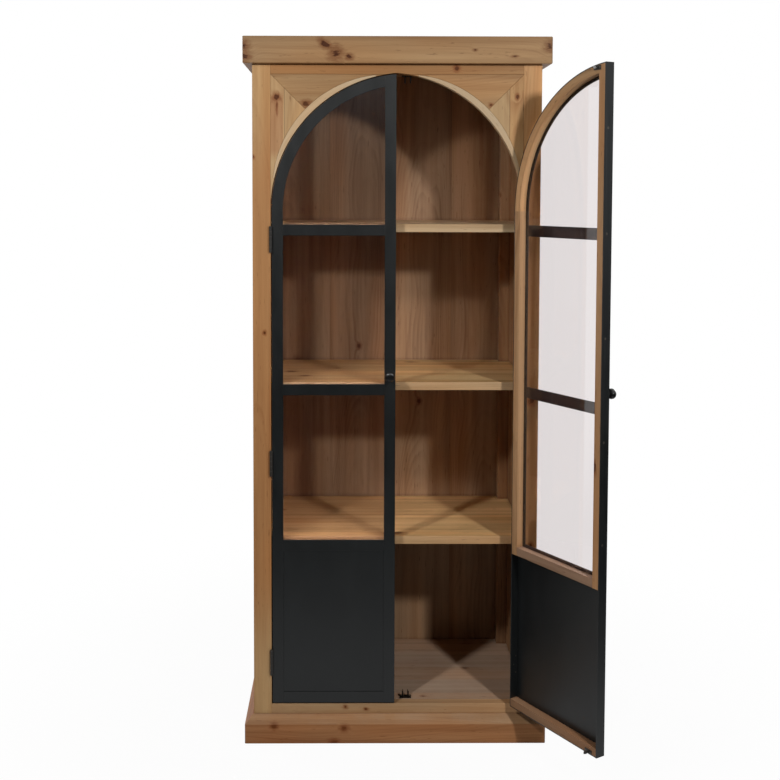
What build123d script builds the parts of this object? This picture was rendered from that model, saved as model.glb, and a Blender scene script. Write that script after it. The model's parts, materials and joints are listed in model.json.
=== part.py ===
from build123d import *
import math
import os

os.makedirs("parts", exist_ok=True)

# Display cabinet with two arched doors, in millimetres.
# X runs across the front, the front faces -Y, Z is up, and the origin is on the floor
# at the centre of the plinth's footprint.

# Overall size
overall_width = 900.0
overall_depth = 520.0
overall_height = 2100.0

# Cornice and plinth boards, which stand out of the carcass by their own thickness
trim_thickness = 26.0
cornice_height = 78.0
plinth_height = 80.0
plinth_bevel_width = 22.0
plinth_bevel_height = 22.0
cornice_corner_radius = 5.0
cornice_edge_radius = 3.0
plinth_corner_radius = 4.0

# Carcass
side_thickness = 26.0
top_thickness = 22.0
back_thickness = 8.0
post_width = 34.0
post_depth = 38.0
rear_rail_thickness = 26.0
inner_rail_thickness = 30.0
housing_depth = 8.0

# Face frame
stile_width = 53.0
face_thickness = 30.0
floor_level = 110.0
floor_thickness = 22.0

# Shelves, by the height of their top faces: the high one keeps its drop below the arch's spring line
shelf_thickness = 24.0
low_shelf_level = 611.0
middle_shelf_level = 1080.0
high_shelf_drop = 40.0
shelf_setback = 36.0

# Two-centred door arch, in a head whose mitred corners carry a pale crescent filler
arch_centre_offset = 33.0
head_rail_height = 85.0
crown_into_rail = 3.6
haunch_tip_width = 1.5
crescent_thickness = 19.5
crescent_centre_shift = 85.0
crescent_tip_angle = 13.6
inner_rail_drop = 4.5

# Doors: an angle-iron frame with glass and a wooden liner inside the angle
door_gap = 3.0
meeting_gap = 4.0
door_depth = 29.0
angle_wall = 3.0
flange_width = 33.0
flange_reveal = 8.0
glass_thickness = 4.0
glass_edge_gap = 2.0
panel_thickness = 2.0
panel_edge_gap = 0.5
panel_lap = 12.0
batten_height = 22.0
right_door_opening = 121.5

# Knobs
knob_level = 1106.0
knob_diameter = 29.0
knob_reach = 33.0
knob_rounding = 8.5
knob_rounding_limit = 0.45
knob_neck_diameter = 13.0
knob_neck_length = 14.0
knob_stud_diameter = 5.0

# Butt hinges: the low and high ones keep their distance from the door's foot and spring line
low_hinge_rise = 126.0
middle_hinge_level = 843.0
high_hinge_drop = 84.0
hinge_length = 75.0
hinge_leaf_depth = 25.0
hinge_leaf_thickness = 2.0
hinge_outer_screw_setback = 10.0
hinge_middle_screw_setback = 18.0
hinge_screw_spacing = 25.0
hinge_knuckles = 5
knuckle_diameter = 9.5
knuckle_end_gap = 0.3
pin_diameter = 4.0
pin_head_diameter = 7.0
pin_head_height = 1.6

# Spring catches and arrow strikes, top and bottom of each door
catch_from_middle = 33.0
catch_gap = 4.5
catch_width = 35.0
catch_length = 22.0
catch_sheet = 1.5
catch_screw_spacing = 24.5
catch_screw_setback = 15.5
catch_screw_length = 14.0
catch_arm_length = 14.0
catch_arm_gap = 13.0
catch_arm_height = 22.0
catch_lip_diameter = 4.0
strike_width = 26.0
strike_height = 12.0
strike_sheet = 1.5
strike_margin = 1.0
strike_screw_spacing = 18.0
arrow_width = 8.0
arrow_height = 6.0
arrow_reach = 17.0
arrow_head_length = 9.0
arrow_shoulder_length = 2.0
arrow_neck_width = 4.0
arrow_tip_width = 2.0

# Countersunk screws
screw_diameter = 3.5
screw_head_diameter = 7.0
screw_head_height = 2.0
wood_screw_length = 20.0
short_screw_length = 8.0
liner_screw_length = 16.0
liner_screw_pitch = 280.0
liner_screw_foot = 122.0
liner_screw_head = 173.0

# Clearances
seat_clearance = 0.3
running_clearance = 0.05
cut_overshoot = 1.0

# Places worked out from the sizes above
back_face = overall_depth / 2
face = -overall_depth / 2 + trim_thickness
face_back = face + face_thickness
carcass_half = overall_width / 2 - trim_thickness
inner_half = carcass_half - side_thickness
opening_half = carcass_half - stile_width
carcass_top = overall_height - top_thickness
panel_face = back_face - back_thickness
post_face = panel_face - post_depth
post_inner = inner_half - post_width
floor_underside = floor_level - floor_thickness
opening_radius = opening_half + arch_centre_offset
head_rail_level = carcass_top - head_rail_height
opening_crown = head_rail_level + crown_into_rail
spring_level = opening_crown - math.sqrt(opening_radius ** 2 - arch_centre_offset ** 2)
arch_centre = (-arch_centre_offset, spring_level)
shelf_levels = {
    "low": low_shelf_level,
    "middle": middle_shelf_level,
    "high": spring_level - high_shelf_drop,
}
inner_rail_level = opening_crown - inner_rail_drop
door_edge = opening_half - door_gap
door_radius = opening_radius - door_gap
door_middle_edge = meeting_gap / 2
door_bottom = floor_level + door_gap
door_back = face + door_depth
glass_face = face + angle_wall
liner_face = glass_face + glass_thickness
liner_width = flange_width - angle_wall - flange_reveal
transom_bottom = low_shelf_level - flange_width
hinge_x = opening_half - (door_gap - hinge_leaf_thickness) / 2
hinge_y = face - knuckle_diameter / 2 - seat_clearance
hinge_axis = Axis((hinge_x, hinge_y, 0), (0, 0, 1))
hinge_levels = (door_bottom + low_hinge_rise, middle_hinge_level, spring_level - high_hinge_drop)

parts = {}


def board(x_range, y_range, z_range):
    """A rectangular board between three pairs of limits."""
    size = [limits[1] - limits[0] for limits in (x_range, y_range, z_range)]
    middle = [(limits[0] + limits[1]) / 2 for limits in (x_range, y_range, z_range)]
    return Pos(*middle) * Box(*size)


def plan_prism(points, z_range):
    """A flat outline in plan, drawn up between two levels."""
    corners = [(x, y, z_range[0]) for x, y in points]
    outline = Face(Wire.make_polygon(corners, close=True))
    return extrude(outline, amount=z_range[1] - z_range[0], dir=(0, 0, 1))


def front_prism(edges, y_range):
    """A closed front outline at the first Y, drawn back to the second."""
    return extrude(Face(Wire(edges)), amount=y_range[1] - y_range[0], dir=(0, 1, 0))


def cylinder_x(x_range, y, z, diameter):
    """A round bar along X."""
    length = x_range[1] - x_range[0]
    middle = (x_range[0] + x_range[1]) / 2
    return Pos(middle, y, z) * Rot(0, 90, 0) * Cylinder(diameter / 2, length)


def cylinder_y(x, y_range, z, diameter):
    """A round bar along Y."""
    length = y_range[1] - y_range[0]
    middle = (y_range[0] + y_range[1]) / 2
    return Pos(x, middle, z) * Rot(90, 0, 0) * Cylinder(diameter / 2, length)


def cylinder_z(x, y, z_range, diameter):
    """A round bar along Z."""
    length = z_range[1] - z_range[0]
    middle = (z_range[0] + z_range[1]) / 2
    return Pos(x, y, middle) * Cylinder(diameter / 2, length)


def one_solid(shape):
    """The single solid of a shape that is built in steps."""
    return shape.solid()


def both_sides(shape):
    """A right-hand shape and its mirror image on the left."""
    return [shape, mirror(shape, about=Plane.YZ)]


def group(shapes):
    """Separate solids kept in one sub-part."""
    solids = []
    for shape in shapes:
        solids.extend(shape.solids())
    return Compound(children=solids)


def arc_height(x, centre, radius):
    """Height of an arc above a place along X."""
    return centre[1] + math.sqrt(radius ** 2 - (x - centre[0]) ** 2)


def arc_edge(x_from, x_to, centre, radius, y):
    """An arc in the front plane between two places along X."""
    angles = [math.acos((x - centre[0]) / radius) for x in (x_from, x_to)]
    points = []
    for angle in (angles[0], (angles[0] + angles[1]) / 2, angles[1]):
        points.append((centre[0] + radius * math.cos(angle), y, centre[1] + radius * math.sin(angle)))
    return Edge.make_three_point_arc(*points)


def arched_leaf(middle_x, edge_x, bottom, radius, y_range):
    """A right-hand arched slab between the meeting edge and the hinge edge."""
    y = y_range[0]
    crown = arc_height(middle_x, arch_centre, radius)
    edges = [
        Edge.make_line((middle_x, y, bottom), (edge_x, y, bottom)),
        Edge.make_line((edge_x, y, bottom), (edge_x, y, spring_level)),
        arc_edge(edge_x, middle_x, arch_centre, radius, y),
        Edge.make_line((middle_x, y, crown), (middle_x, y, bottom)),
    ]
    return front_prism(edges, y_range)


def door_leaf(inset, y_range, bottom=door_bottom):
    """The right door's outline, drawn in by an inset on its arch and both edges."""
    return arched_leaf(door_middle_edge + inset, door_edge - inset, bottom, door_radius - inset, y_range)


def countersunk_screw(length):
    """A screw along +X with its flat head at X = 0."""
    head = Pos(screw_head_height / 2, 0, 0) * Rot(0, 90, 0) * Cone(
        screw_head_diameter / 2, screw_diameter / 2, screw_head_height
    )
    shank = cylinder_x((screw_head_height, length), 0, 0, screw_diameter)
    return one_solid(head + shank)


def cut_screws(shape, screws):
    """A shape with a hole for each screw that enters it."""
    for screw in screws:
        shape = shape - screw
    return shape


def carcass_boards():
    """Sides, top, back, posts, rails, floor and shelves."""
    side = board((inner_half, carcass_half), (face_back, back_face), (0, carcass_top))
    post = board((post_inner, inner_half), (post_face, panel_face), (0, carcass_top))
    shelves = {}
    levels = dict(shelf_levels, floor=floor_level)
    for name, level in levels.items():
        front = face_back if name == "floor" else face + shelf_setback
        thickness = floor_thickness if name == "floor" else shelf_thickness
        reach = inner_half + housing_depth
        height = (level - thickness, level)
        shelf = board((-reach, reach), (front, panel_face), height)
        for notch in both_sides(board((post_inner, reach), (post_face, panel_face), height)):
            shelf = shelf - notch
        side = side - shelf
        shelves[name] = one_solid(shelf)
    parts["side_panel_right"], parts["side_panel_left"] = both_sides(one_solid(side))
    parts["rear_posts"] = group(both_sides(post))
    parts["floor_board"] = shelves["floor"]
    for name in shelf_levels:
        parts["shelf_" + name] = shelves[name]
    parts["back_panel"] = board((-inner_half, inner_half), (panel_face, back_face), (0, carcass_top))
    top_range = (carcass_top, overall_height)
    parts["top_board"] = board((-carcass_half, carcass_half), (face, back_face), top_range)
    rear_rail_face = panel_face - rear_rail_thickness
    parts["rear_rail"] = board((-post_inner, post_inner), (rear_rail_face, panel_face), (0, floor_underside))
    inner_rail_back = face_back + inner_rail_thickness
    parts["inner_head_rail"] = board(
        (-inner_half, inner_half), (face_back, inner_rail_back), (inner_rail_level, carcass_top)
    )


def trim_boards():
    """Cornice and plinth boards, mitred at the front corners."""
    half = overall_width / 2
    front = -overall_depth / 2
    cornice_range = (overall_height - cornice_height, overall_height)
    cornice = board((-half, half), (front, back_face), cornice_range)
    cornice = fillet(cornice.edges().filter_by(Axis.Z).sort_by(Axis.Y)[:2], cornice_corner_radius)
    flat_edges = cornice.faces().filter_by(Plane.XY).edges()
    rims = flat_edges.filter_by_position(Axis.Y, front, back_face - cut_overshoot)
    cornice = fillet(rims, cornice_edge_radius)
    plinth = board((-half, half), (front, back_face), (0, plinth_height))
    plinth = fillet(plinth.edges().filter_by(Axis.Z).sort_by(Axis.Y)[:2], plinth_corner_radius)
    bevel_bottom = plinth_height - plinth_bevel_height
    section = [
        (0, bevel_bottom), (-plinth_bevel_width, plinth_height),
        (cut_overshoot, plinth_height), (cut_overshoot, bevel_bottom),
    ]
    for side in (-1, 1):
        corners = [(side * (half + x), front - cut_overshoot, z) for x, z in section]
        side_bevel = Face(Wire.make_polygon(corners, close=True))
        plinth = plinth - extrude(side_bevel, amount=overall_depth + 2 * cut_overshoot, dir=(0, 1, 0))
    corners = [(-half - cut_overshoot, front - x, z) for x, z in section]
    front_bevel = Face(Wire.make_polygon(corners, close=True))
    plinth = plinth - extrude(front_bevel, amount=overall_width + 2 * cut_overshoot, dir=(1, 0, 0))
    front_plan = [(-half, front), (half, front), (carcass_half, face), (-carcass_half, face)]
    side_plan = [(half, front), (half, back_face), (carcass_half, back_face), (carcass_half, face)]
    for name, frame in (("cornice", cornice), ("plinth", plinth)):
        parts[name + "_front"] = one_solid(frame & plan_prism(front_plan, (0, overall_height)))
        side_board = one_solid(frame & plan_prism(side_plan, (0, overall_height)))
        parts[name + "_right"], parts[name + "_left"] = both_sides(side_board)


def crescent_zone(y_range):
    """The right-hand zone under the crescent's outer arc, cut off where its tips get thin."""
    shift = crescent_centre_shift * math.sqrt(0.5)
    radius = opening_radius + crescent_thickness - crescent_centre_shift
    disc = cylinder_y(arch_centre[0] + shift, y_range, arch_centre[1] + shift, 2 * radius)
    tip = opening_radius * math.sin(math.radians(crescent_tip_angle))
    limits = board((arch_centre[0] + tip, opening_half), y_range, (spring_level + tip, overall_height))
    return disc & limits


def face_frame():
    """Stiles, rails, and the mitred head boards with the crescent fillers below them."""
    y_range = (face, face_back)
    stile = board((opening_half, carcass_half), y_range, (0, carcass_top))
    parts["stile_right"], parts["stile_left"] = both_sides(stile)
    parts["bottom_rail"] = board((-opening_half, opening_half), y_range, (0, floor_level))
    door_way = arched_leaf(0, opening_half, floor_level, opening_radius, y_range)
    head_rail = board((0, opening_half), y_range, (head_rail_level, carcass_top)) - door_way
    parts["head_rail"] = one_solid(head_rail + mirror(head_rail, about=Plane.YZ))
    # Each corner's two boards meet on a mitre that runs down at 45 degrees
    inner_x = opening_half / 2
    mitre_foot = (inner_x, head_rail_level - opening_half + inner_x)
    tip_level = arc_height(opening_half - haunch_tip_width, arch_centre, opening_radius)
    upper = [(opening_half, head_rail_level), mitre_foot, (0, mitre_foot[1]), (0, head_rail_level)]
    lower = [(opening_half, head_rail_level), (opening_half, tip_level), (inner_x, tip_level), mitre_foot]
    filler_zone = crescent_zone(y_range)
    for name, corners in (("spandrel_boards", upper), ("haunch_boards", lower)):
        outline = Face(Wire.make_polygon([(x, face, z) for x, z in corners], close=True))
        corner_board = extrude(outline, amount=face_thickness, dir=(0, 1, 0)) - door_way - filler_zone
        parts[name] = group(both_sides(one_solid(corner_board)))
    filler = filler_zone - door_way
    parts["arch_fillers"] = group(both_sides(one_solid(filler)))


def door_frame():
    """The right door's angle-iron bars, closed."""
    angle_inner = door_leaf(angle_wall, (face + angle_wall, door_back), door_bottom + angle_wall)
    flange_inner = door_leaf(flange_width, (face, face + angle_wall), door_bottom + flange_width)
    frame = door_leaf(0, (face, door_back)) - angle_inner - flange_inner
    meeting_inner = door_middle_edge + flange_width
    hinge_inner = door_edge - flange_width
    deep = (face, door_back)
    tall = (door_bottom, overall_height)
    meeting_zone = board((door_middle_edge, meeting_inner), (face, face + angle_wall), tall)
    meeting_zone = meeting_zone + board((door_middle_edge, door_middle_edge + angle_wall), deep, tall)
    straight = (door_bottom, spring_level)
    hinge_zone = board((hinge_inner, door_edge), (face, face + angle_wall), straight)
    hinge_zone = hinge_zone + board((door_edge - angle_wall, door_edge), deep, straight)
    meeting = frame & meeting_zone
    hinge = frame & hinge_zone
    rest = frame - meeting - hinge
    upper = rest & board((0, door_edge), deep, (spring_level, overall_height))
    lower = rest - board((0, door_edge), deep, (spring_level, overall_height))
    bars = []
    for level in shelf_levels.values():
        bar = board((meeting_inner, hinge_inner), (face, face + angle_wall), (level - flange_width, level))
        bars.append(bar & flange_inner)
    return {
        "meeting_stile": one_solid(meeting),
        "hinge_stile": one_solid(hinge),
        "arch_bar": one_solid(upper),
        "bottom_bar": one_solid(lower),
        "glazing_bars": group(bars),
    }


def door_infill():
    """The right door's glass, steel panel, wooden liner and batten, closed."""
    glass_inset = angle_wall + glass_edge_gap
    glass_bottom = transom_bottom + panel_lap + glass_edge_gap
    glass = door_leaf(glass_inset, (glass_face, liner_face), glass_bottom)
    wall_x = (door_middle_edge + angle_wall, door_edge - angle_wall)
    panel = board(
        (wall_x[0] + panel_edge_gap, wall_x[1] - panel_edge_gap),
        (glass_face, glass_face + panel_thickness),
        (door_bottom + angle_wall + panel_edge_gap, transom_bottom + panel_lap),
    )
    deep = (liner_face, door_back)
    outer = door_leaf(angle_wall, deep, transom_bottom)
    ring = outer - door_leaf(angle_wall + liner_width, deep, transom_bottom + flange_width - flange_reveal)
    meeting_x = (wall_x[0], wall_x[0] + liner_width)
    hinge_x_range = (wall_x[1] - liner_width, wall_x[1])
    full = (transom_bottom, overall_height)
    meeting = ring & board(meeting_x, deep, full)
    hinge = ring & board(hinge_x_range, deep, (transom_bottom, spring_level))
    between = ring & board((meeting_x[1], wall_x[1]), deep, full)
    upper = between & board((meeting_x[1], wall_x[1]), deep, (spring_level, overall_height))
    lower = between & board((meeting_x[1], hinge_x_range[0]), deep, (transom_bottom, spring_level))
    batten_bottom = door_bottom + angle_wall
    batten_height_range = (batten_bottom, batten_bottom + batten_height)
    batten = board(wall_x, (glass_face + panel_thickness, door_back), batten_height_range)
    return {
        "glass": one_solid(glass),
        "lower_panel": panel,
        "liner_meeting_side": one_solid(meeting),
        "liner_hinge_side": one_solid(hinge),
        "liner_arch": one_solid(upper),
        "liner_bottom": one_solid(lower),
        "bottom_batten": batten,
    }


def knob():
    """A mushroom knob with a stud through the meeting stile, and the stud's hole, closed."""
    x = door_middle_edge + flange_width / 2
    head_back = face - knob_neck_length
    head_front = face - knob_reach
    rounding = min(knob_rounding, knob_rounding_limit * (head_back - head_front))
    head = cylinder_y(x, (head_front, head_back), knob_level, knob_diameter)
    head = fillet(head.edges().filter_by(GeomType.CIRCLE), rounding)
    neck = cylinder_y(x, ((head_front + head_back) / 2, face), knob_level, knob_neck_diameter)
    wall = (face, face + angle_wall)
    stud = cylinder_y(x, wall, knob_level, knob_stud_diameter)
    hole = cylinder_y(x, wall, knob_level, knob_stud_diameter + 2 * running_clearance)
    return one_solid(head + neck + stud), hole


def knuckle_ranges(level, on_door):
    """The heights of one leaf's knuckles, which take turns with the other leaf's."""
    pitch = hinge_length / hinge_knuckles
    bottom = level - hinge_length / 2
    ranges = []
    for index in range(hinge_knuckles):
        if (index % 2 == 1) == on_door:
            start = bottom + index * pitch
            lower = 0 if index == 0 else knuckle_end_gap / 2
            upper = 0 if index == hinge_knuckles - 1 else knuckle_end_gap / 2
            ranges.append((start + lower, start + pitch - upper))
    return ranges


def hinge_leaf(level, on_door):
    """One leaf of a right-hand butt hinge with its knuckles bored for the pin, closed."""
    inner = door_edge if on_door else opening_half
    height = (level - hinge_length / 2, level + hinge_length / 2)
    leaf = board((inner, inner + hinge_leaf_thickness), (hinge_y, face + hinge_leaf_depth), height)
    swing = knuckle_diameter + 2 * seat_clearance
    for low, high in knuckle_ranges(level, not on_door):
        leaf = leaf - cylinder_z(hinge_x, hinge_y, (low - knuckle_end_gap, high + knuckle_end_gap), swing)
    for limits in knuckle_ranges(level, on_door):
        leaf = leaf + cylinder_z(hinge_x, hinge_y, limits, knuckle_diameter)
    bore = cylinder_z(hinge_x, hinge_y, height, pin_diameter + 2 * running_clearance)
    return one_solid(leaf - bore)


def hinge_pin(level):
    """A hinge pin with a flat head at each end."""
    low = level - hinge_length / 2
    high = level + hinge_length / 2
    pin = cylinder_z(hinge_x, hinge_y, (low, high), pin_diameter)
    pin = pin + cylinder_z(hinge_x, hinge_y, (low - pin_head_height, low), pin_head_diameter)
    pin = pin + cylinder_z(hinge_x, hinge_y, (high, high + pin_head_height), pin_head_diameter)
    return one_solid(pin)


def hinge_screws(level, on_door):
    """Three staggered screws of one hinge leaf, closed."""
    length = short_screw_length if on_door else wood_screw_length
    surface = door_edge + hinge_leaf_thickness if on_door else opening_half
    turn = 180 if on_door else 0
    screws = []
    for step in (-1, 0, 1):
        setback = hinge_outer_screw_setback if step else hinge_middle_screw_setback
        place = Pos(surface, face + setback, level + step * hinge_screw_spacing)
        screws.append(place * Rot(0, 0, turn) * countersunk_screw(length))
    return screws


def catch_clip():
    """A right-hand floor catch: a base and two upright arms with rolled lips."""
    y_front = door_back + strike_sheet + catch_gap
    x_range = (catch_from_middle - catch_width / 2, catch_from_middle + catch_width / 2)
    clip = board(x_range, (y_front, y_front + catch_length), (floor_level, floor_level + catch_sheet))
    height = (floor_level, floor_level + catch_arm_height)
    for side in (-1, 1):
        inner = catch_from_middle + side * catch_arm_gap / 2
        outer = inner + side * catch_sheet
        arm_y = (y_front + catch_lip_diameter / 2, y_front + catch_arm_length)
        clip = clip + board(sorted((inner, outer)), arm_y, height)
        lip_x = inner + side * catch_lip_diameter / 2
        clip = clip + cylinder_z(lip_x, arm_y[0], height, catch_lip_diameter)
    screws = []
    for side in (-1, 1):
        x = catch_from_middle + side * catch_screw_spacing / 2
        place = Pos(x, y_front + catch_screw_setback, floor_level + catch_sheet)
        screws.append(place * Rot(0, 90, 0) * countersunk_screw(catch_screw_length))
    return one_solid(clip), screws


def strike(level):
    """A strike plate with an arrow that enters the catch, closed."""
    x_range = (catch_from_middle - strike_width / 2, catch_from_middle + strike_width / 2)
    height = (level - strike_height / 2, level + strike_height / 2)
    plate = board(x_range, (door_back, door_back + strike_sheet), height)
    plate_back = door_back + strike_sheet
    tip = door_back + arrow_reach
    shoulder = tip - arrow_head_length
    widest = shoulder + arrow_shoulder_length
    half = arrow_width / 2
    neck = arrow_neck_width / 2
    point = arrow_tip_width / 2
    outline = [
        (-neck, plate_back), (neck, plate_back), (neck, shoulder), (half, widest),
        (point, tip), (-point, tip), (-half, widest), (-neck, shoulder),
    ]
    points = [(catch_from_middle + x, y) for x, y in outline]
    arrow = plan_prism(points, (level - arrow_height / 2, level + arrow_height / 2))
    screws = []
    for side in (-1, 1):
        place = Pos(catch_from_middle + side * strike_screw_spacing / 2, plate_back, level)
        screws.append(place * Rot(0, 0, -90) * countersunk_screw(short_screw_length))
    return one_solid(plate + arrow), screws


def liner_screws():
    """Evenly spaced screws through the meeting stile's wall into the wooden liner, closed."""
    y = (liner_face + door_back) / 2
    low = transom_bottom + liner_screw_foot
    high = arc_height(door_middle_edge, arch_centre, door_radius) - liner_screw_head
    steps = round((high - low) / liner_screw_pitch)
    screws = []
    for index in range(steps + 1):
        place = Pos(door_middle_edge, y, low + index * (high - low) / steps)
        screws.append(place * countersunk_screw(liner_screw_length))
    return screws


def door_pieces():
    """Every piece of the right door, closed, with its screw holes cut."""
    pieces = door_frame()
    pieces.update(door_infill())
    pieces["knob"], stud_hole = knob()
    pieces["meeting_stile"] = pieces["meeting_stile"] - stud_hole
    leaf_screws = []
    leaves = []
    for level in hinge_levels:
        screws = hinge_screws(level, True)
        leaves.append(one_solid(cut_screws(hinge_leaf(level, True), screws)))
        leaf_screws.extend(screws)
    strikes = []
    strike_screws = []
    strike_inset = strike_margin + strike_height / 2
    arch_above_strike = arc_height(catch_from_middle + strike_width / 2, arch_centre, door_radius)
    for level in (door_bottom + strike_inset, arch_above_strike - strike_inset):
        plate, screws = strike(level)
        strikes.append(one_solid(cut_screws(plate, screws)))
        strike_screws.extend(screws)
    edge_screws = liner_screws()
    entered = {
        "hinge_stile": leaf_screws,
        "liner_hinge_side": leaf_screws,
        "bottom_batten": leaf_screws + strike_screws,
        "liner_arch": strike_screws,
        "liner_meeting_side": strike_screws + edge_screws,
        "meeting_stile": edge_screws,
    }
    for name, screws in entered.items():
        pieces[name] = one_solid(cut_screws(pieces[name], screws))
    pieces["hinge_leaves"] = group(leaves)
    pieces["strikes"] = group(strikes)
    pieces["screws"] = group(leaf_screws + strike_screws + edge_screws)
    return pieces


def doors():
    """The left door closed and the right door swung open."""
    for name, piece in door_pieces().items():
        parts["left_door_" + name] = mirror(piece, about=Plane.YZ)
        parts["right_door_" + name] = piece.rotate(hinge_axis, right_door_opening)


def cabinet_hardware():
    """Hinge leaves, pins and catches that stay on the cabinet, let into its boards."""
    leaves = []
    pins = []
    screws = []
    stile = parts["stile_right"]
    for level in hinge_levels:
        leaf_screws = hinge_screws(level, False)
        leaf = hinge_leaf(level, False)
        stile = cut_screws(stile - leaf, leaf_screws)
        leaves.append(one_solid(cut_screws(leaf, leaf_screws)))
        pins.append(hinge_pin(level))
        screws.extend(leaf_screws)
    clip, clip_screws = catch_clip()
    clip = one_solid(cut_screws(clip, clip_screws))
    middle_height = Plane((0, 0, (floor_level + inner_rail_level) / 2))
    head_clip = mirror(clip, about=middle_height)
    head_screws = [mirror(screw, about=middle_height) for screw in clip_screws]
    parts["stile_right"], parts["stile_left"] = both_sides(one_solid(stile))
    for name, fixings in (("floor_board", clip_screws), ("inner_head_rail", head_screws)):
        for screw in fixings:
            parts[name] = cut_screws(parts[name], both_sides(screw))
        parts[name] = one_solid(parts[name])
    every = {
        "cabinet_hinge_leaves": leaves,
        "hinge_pins": pins,
        "catch_clips": [clip, head_clip],
        "cabinet_screws": screws + clip_screws + head_screws,
    }
    for name, shapes in every.items():
        parts[name] = group([copy for shape in shapes for copy in both_sides(shape)])


carcass_boards()
trim_boards()
face_frame()
doors()
cabinet_hardware()

for node, shape in parts.items():
    export_step(shape, "parts/" + node + ".step")
print(len(parts), "sub-parts written")
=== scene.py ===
import json
import math

import bmesh
import bpy
import numpy as np
from mathutils import Matrix, Vector


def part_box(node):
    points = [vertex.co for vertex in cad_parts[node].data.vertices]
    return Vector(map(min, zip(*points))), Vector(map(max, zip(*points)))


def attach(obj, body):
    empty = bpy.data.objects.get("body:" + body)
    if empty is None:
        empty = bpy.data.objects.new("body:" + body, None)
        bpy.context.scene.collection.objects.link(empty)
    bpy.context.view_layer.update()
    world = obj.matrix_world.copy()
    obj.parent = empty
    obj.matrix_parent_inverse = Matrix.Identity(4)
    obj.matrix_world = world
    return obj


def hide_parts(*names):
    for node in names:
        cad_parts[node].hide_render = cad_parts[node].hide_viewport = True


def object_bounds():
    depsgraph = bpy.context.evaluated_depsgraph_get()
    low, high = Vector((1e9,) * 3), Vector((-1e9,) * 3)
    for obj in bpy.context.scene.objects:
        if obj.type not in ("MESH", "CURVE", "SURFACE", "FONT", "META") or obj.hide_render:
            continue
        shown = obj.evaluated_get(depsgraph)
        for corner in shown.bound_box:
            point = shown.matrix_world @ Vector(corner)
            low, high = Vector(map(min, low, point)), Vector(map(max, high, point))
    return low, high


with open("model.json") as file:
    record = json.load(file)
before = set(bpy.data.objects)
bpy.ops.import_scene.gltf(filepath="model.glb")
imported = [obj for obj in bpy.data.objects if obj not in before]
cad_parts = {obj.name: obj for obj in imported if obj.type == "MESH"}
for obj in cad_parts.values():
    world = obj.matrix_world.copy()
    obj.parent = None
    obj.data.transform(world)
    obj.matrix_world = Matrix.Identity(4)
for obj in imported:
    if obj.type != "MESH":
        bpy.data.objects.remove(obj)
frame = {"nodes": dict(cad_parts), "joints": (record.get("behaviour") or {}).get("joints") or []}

# Display cabinet, in metres: X to the right, the front faces -Y, Z up
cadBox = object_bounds()
parts = frame["nodes"]
print("frame:", len(parts), "nodes")

# Places that the patterns need, worked out from the frame
joint = next(joint for joint in frame["joints"] if joint["name"] == "right_door_hinge")
doorHinge, doorTurn = Vector(joint["pos_m"]), math.radians(-joint["range_deg"][0])
archBarLow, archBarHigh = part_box("left_door_arch_bar")
doorOuter, doorInner = -archBarLow.x, -archBarHigh.x
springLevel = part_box("left_door_hinge_stile")[1].z
archRise = archBarHigh.z - springLevel
archShift = (archRise ** 2 - doorOuter ** 2 + doorInner ** 2) / (2 * (doorOuter - doorInner))
archRadius = doorOuter + archShift


def linear(red, green, blue):
    # a colour given on screen, 0 to 255, as the shader wants it
    values = []
    for part in (red, green, blue):
        part = part / 255
        values.append(part / 12.92 if part <= 0.04045 else ((part + 0.055) / 1.055) ** 2.4)
    return (*values, 1.0)


# Small tools for node trees: a socket is linked, and anything else is set
def feed(tree, socket, value):
    if isinstance(value, bpy.types.NodeSocket):
        tree.links.new(value, socket)
    else:
        socket.default_value = value


def addNode(tree, kind, inputs=None, **settings):
    node = tree.nodes.new(kind)
    for name, value in settings.items():
        setattr(node, name, value)
    for name, value in (inputs or {}).items():
        feed(tree, node.inputs[name], value)
    return node


def calc(tree, operation, *values, clamp=False):
    inputs = dict(enumerate(values))
    return addNode(tree, "ShaderNodeMath", inputs, operation=operation, use_clamp=clamp).outputs[0]


def times(tree, first, second, clamp=False):
    return calc(tree, "MULTIPLY", first, second, clamp=clamp)


def plus(tree, first, second):
    return calc(tree, "ADD", first, second)


def minus(tree, first, second):
    return calc(tree, "SUBTRACT", first, second)


def scaled(tree, value, factor, extra, clamp=False):
    # value * factor + extra
    return calc(tree, "MULTIPLY_ADD", value, factor, extra, clamp=clamp)


def vectorCalc(tree, operation, *values):
    node = addNode(tree, "ShaderNodeVectorMath", dict(enumerate(values)), operation=operation)
    return node.outputs["Value" if operation in ("LENGTH", "DOT_PRODUCT") else "Vector"]


def splitXYZ(tree, vector):
    return addNode(tree, "ShaderNodeSeparateXYZ", {"Vector": vector}).outputs


def joinXYZ(tree, x, y, z):
    return addNode(tree, "ShaderNodeCombineXYZ", {"X": x, "Y": y, "Z": z}).outputs[0]


def noise(tree, vector, stretch=(1, 1, 1), detail=2.0, roughness=0.5):
    spread = vectorCalc(tree, "MULTIPLY", vector, stretch)
    return addNode(tree, "ShaderNodeTexNoise", {
        "Vector": spread, "Scale": 1.0, "Detail": detail, "Roughness": roughness,
    }).outputs


def ease(tree, value, start, end, low=0.0, high=1.0):
    return addNode(tree, "ShaderNodeMapRange", {
        "Value": value, "From Min": start, "From Max": end, "To Min": low, "To Max": high,
    }, interpolation_type="SMOOTHSTEP").outputs["Result"]


def blendColour(tree, factor, first, second, mode="MIX"):
    inputs = {0: factor, 6: first, 7: second}  # of the Mix node's sockets, those for colours
    node = addNode(tree, "ShaderNodeMix", inputs, data_type="RGBA", blend_type=mode, clamp_factor=True)
    return node.outputs[2]


def tinge(tree, colour, tint):
    return blendColour(tree, 1.0, colour, tint, "MULTIPLY")


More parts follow.
